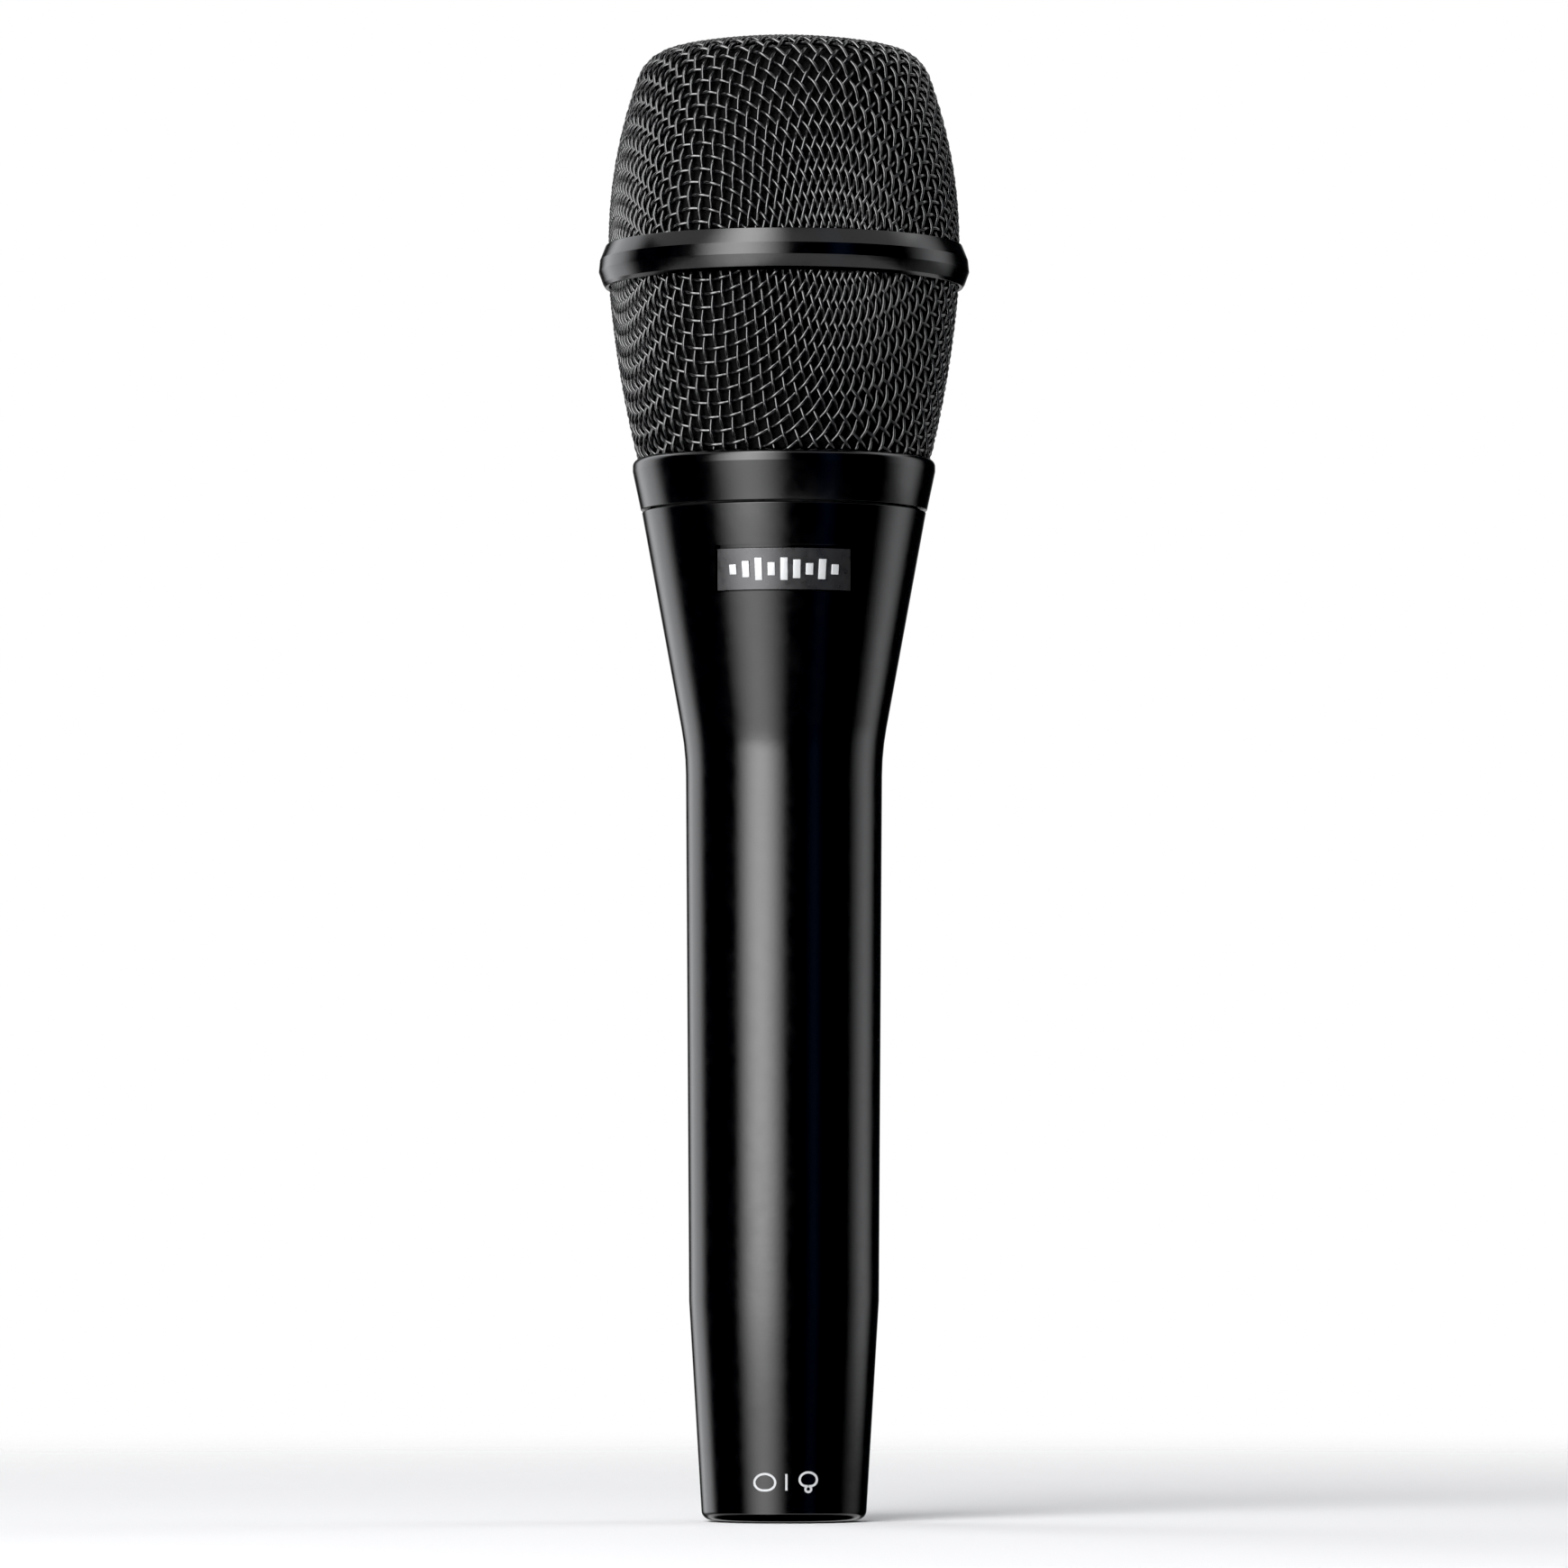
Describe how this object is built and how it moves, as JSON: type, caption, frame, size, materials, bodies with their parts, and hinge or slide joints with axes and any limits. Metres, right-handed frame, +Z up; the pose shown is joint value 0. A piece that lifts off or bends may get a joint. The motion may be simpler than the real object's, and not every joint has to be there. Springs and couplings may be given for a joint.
{
  "type": "handheld vocal microphone",
  "caption": "Handheld vocal microphone with a tapered handle, a screw-on wire-mesh grille, a sprung capsule and a cable socket in its end.",
  "frame": {"origin": "centre of the handle's bottom rim, on the surface that the microphone stands on", "axes": "+Z up along the microphone's axis to the top of the grille; the name plate and the front face -Y; +X to the right seen from the front"},
  "size_m": [0.048, 0.048, 0.191],
  "materials": {
    "lacquer": "smooth semi-gloss black lacquer",
    "mesh_wire": "black-coated woven steel wire",
    "name_plate": "satin black plate",
    "foam": "open-cell black foam",
    "rubber": "matte black elastomer",
    "plastic": "moulded black plastic",
    "white_plastic": "moulded white plastic",
    "brass": "turned brass",
    "gold": "gold plating",
    "steel": "bright steel",
    "guard_steel": "black-coated steel",
    "board": "green solder mask on glass fibre",
    "tin": "tinned sheet steel",
    "lead": "insulated wire"
  },
  "bodies": {
    "handle": {"handle_shell": "lacquer", "name_plate": "name_plate", "lower_isolator": "rubber", "upper_isolator": "rubber", "connector_insert": "plastic", "board_clip_lower": "plastic", "board_clip_upper": "plastic", "coupling_capacitor_1": "plastic", "coupling_capacitor_2": "plastic", "filter_capacitor": "plastic", "output_transistor_1": "plastic", "output_transistor_2": "plastic", "neck_plate": "plastic", "mount_cup": "plastic", "mount_cap": "plastic", "switch_body": "plastic", "input_header": "white_plastic", "output_header": "white_plastic", "ground_spring": "brass", "connector_pin_1": "gold", "connector_pin_2": "gold", "connector_pin_3": "gold", "retaining_screw": "steel", "circuit_board": "board", "shield_can": "tin", "film_capacitor": "lead", "output_wire_1": "lead", "output_wire_2": "lead", "output_wire_3": "lead", "rear_lead": "lead", "front_lead": "lead"},
    "slider": {"switch_slider": "white_plastic"},
    "capsule": {"capsule_stem": "plastic", "capsule_cradle": "plastic", "rear_clamp_ring": "brass", "rear_diaphragm": "gold", "rear_backplate": "brass", "backplate_spacer": "plastic", "front_backplate": "brass", "capsule_insulator": "plastic", "front_diaphragm": "gold", "front_clamp_ring": "brass", "capsule_guard": "guard_steel", "clamp_screw_1": "steel", "clamp_screw_2": "steel", "clamp_screw_3": "steel", "clamp_screw_4": "steel", "clamp_screw_5": "steel", "clamp_screw_6": "steel"},
    "gasket": {"collar_gasket": "rubber"},
    "liner": {"foam_liner": "foam"},
    "grille": {"grille_collar": "lacquer", "lower_mesh": "mesh_wire", "grille_band": "lacquer", "upper_mesh": "mesh_wire"}
  },
  "joints": [
    {"name": "grille_lift_off", "type": "slide", "parent": "handle", "child": "gasket", "axis": [0, 0, 1], "range_m": [0, 0.05]},
    {"name": "grille_thread_advance", "type": "slide", "parent": "gasket", "child": "liner", "axis": [0, 0, 1], "range_m": [0, 0.004]},
    {"name": "grille_unscrew", "type": "hinge", "parent": "liner", "child": "grille", "pos_m": [0, 0, 0.1303], "axis": [0, 0, 1], "range_deg": [0, 1440]},
    {"name": "capsule_float", "type": "slide", "parent": "handle", "child": "capsule", "axis": [0, 0, 1], "range_m": [-0.001, 0.001], "stiffness_N_per_m": 2000, "deforming": ["lower_isolator", "upper_isolator"]},
    {"name": "pattern_switch", "type": "slide", "parent": "handle", "child": "slider", "axis": [1, 0, 0], "range_m": [0, 0.0021]}
  ],
  "couplings": [
    {"joint": "grille_thread_advance", "follows": "grille_unscrew", "m_per_rad": 0.00015915}
  ]
}
